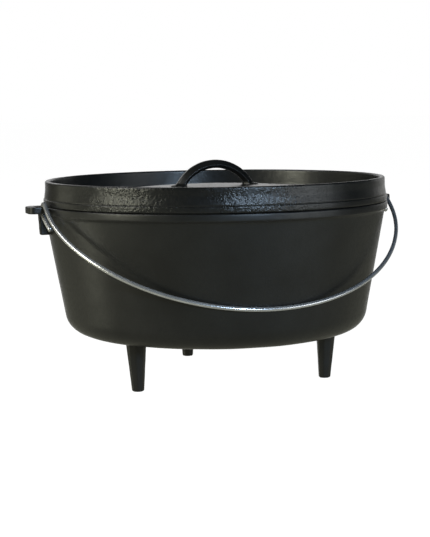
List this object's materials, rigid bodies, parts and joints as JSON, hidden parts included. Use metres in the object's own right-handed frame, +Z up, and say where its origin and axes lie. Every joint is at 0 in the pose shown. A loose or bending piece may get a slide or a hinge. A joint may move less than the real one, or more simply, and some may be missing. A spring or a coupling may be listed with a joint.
{
  "type": "cast iron dutch oven",
  "caption": "Three-legged cast iron camp oven with a flanged, rimmed lid that holds coals, an arched lid handle and a swinging wire bail.",
  "frame": {"origin": "on the floor, on the pot's vertical axis", "axes": "+Z up; the two bail ears lie on the X axis; the bail hangs on the -Y side, which is the front; the rear leg is near +Y"},
  "size_m": [0.405, 0.3654, 0.2312],
  "materials": {
    "seasoned_iron": "seasoned near-black iron, fine sand-cast grain, semi-matt",
    "lid_iron": "seasoned near-black iron, pebbled sand-cast grain, semi-matt",
    "bail_wire": "bright plated drawn wire"
  },
  "bodies": {
    "pot": {"pot": "seasoned_iron", "front_left_leg": "seasoned_iron", "front_right_leg": "seasoned_iron", "rear_leg": "seasoned_iron", "left_ear": "seasoned_iron", "right_ear": "seasoned_iron"},
    "lid": {"lid": "lid_iron", "lid_rim": "lid_iron", "lid_handle": "lid_iron"},
    "bail": {"bail": "bail_wire"}
  },
  "joints": [
    {"name": "lid_lift", "type": "slide", "parent": "pot", "child": "lid", "axis": [0, 0, 1], "range_m": [0, 0.22]},
    {"name": "bail_swing", "type": "hinge", "parent": "pot", "child": "bail", "pos_m": [0, -0.0112, 0.185], "axis": [-1, 0, 0], "range_deg": [0, 150]}
  ]
}
